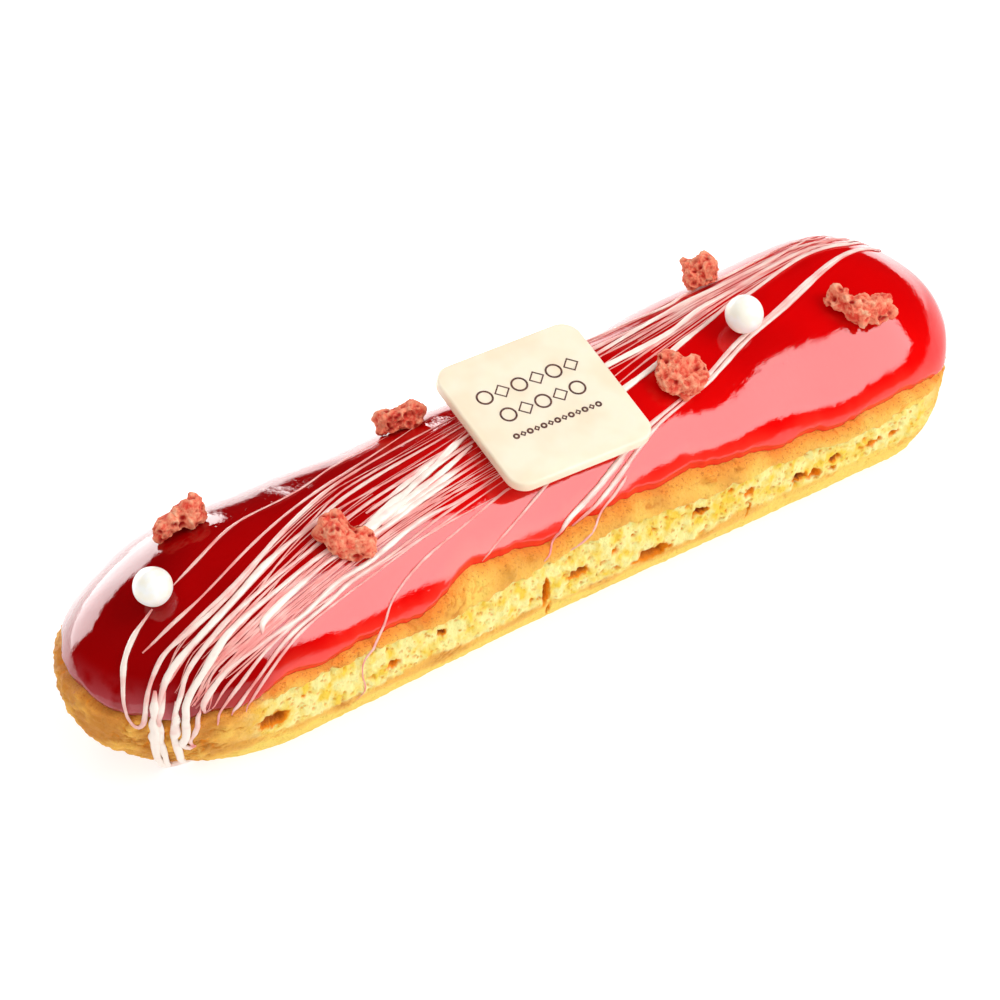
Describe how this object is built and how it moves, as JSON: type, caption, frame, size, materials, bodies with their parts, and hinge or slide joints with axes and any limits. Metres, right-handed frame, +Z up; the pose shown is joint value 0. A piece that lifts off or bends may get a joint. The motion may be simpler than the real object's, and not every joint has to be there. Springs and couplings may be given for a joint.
{
  "type": "glazed eclair",
  "caption": "Oblong choux bun under a shiny red glaze, drizzled with pale icing and topped with a thin square plaque, sugar pearls and freeze-dried fruit.",
  "frame": {"origin": "middle of the foot the bun rests on: the centre of the bounding box, at its bottom", "axes": "+X along the bun, towards its blunter end; -Y out of the front, the side with the pale split in view and the drips at its left; +Z up"},
  "size_m": [0.1506, 0.0381, 0.0334],
  "materials": {
    "choux": "baked choux pastry: matt golden crust, paler and spongy along the split",
    "glaze": "mirror glaze, deep red, very shiny",
    "plaque": "white chocolate, satin",
    "pearl": "sugar pearl, cream, satin",
    "fruit": "freeze-dried fruit: dry, matt and porous, coral pink"
  },
  "bodies": {
    "root": {"choux": "choux", "glaze": "glaze", "plaque": "plaque", "pearl_1": "pearl", "pearl_2": "pearl", "fruit_1": "fruit", "fruit_2": "fruit", "fruit_3": "fruit", "fruit_4": "fruit", "fruit_5": "fruit", "fruit_6": "fruit"}
  },
  "joints": []
}
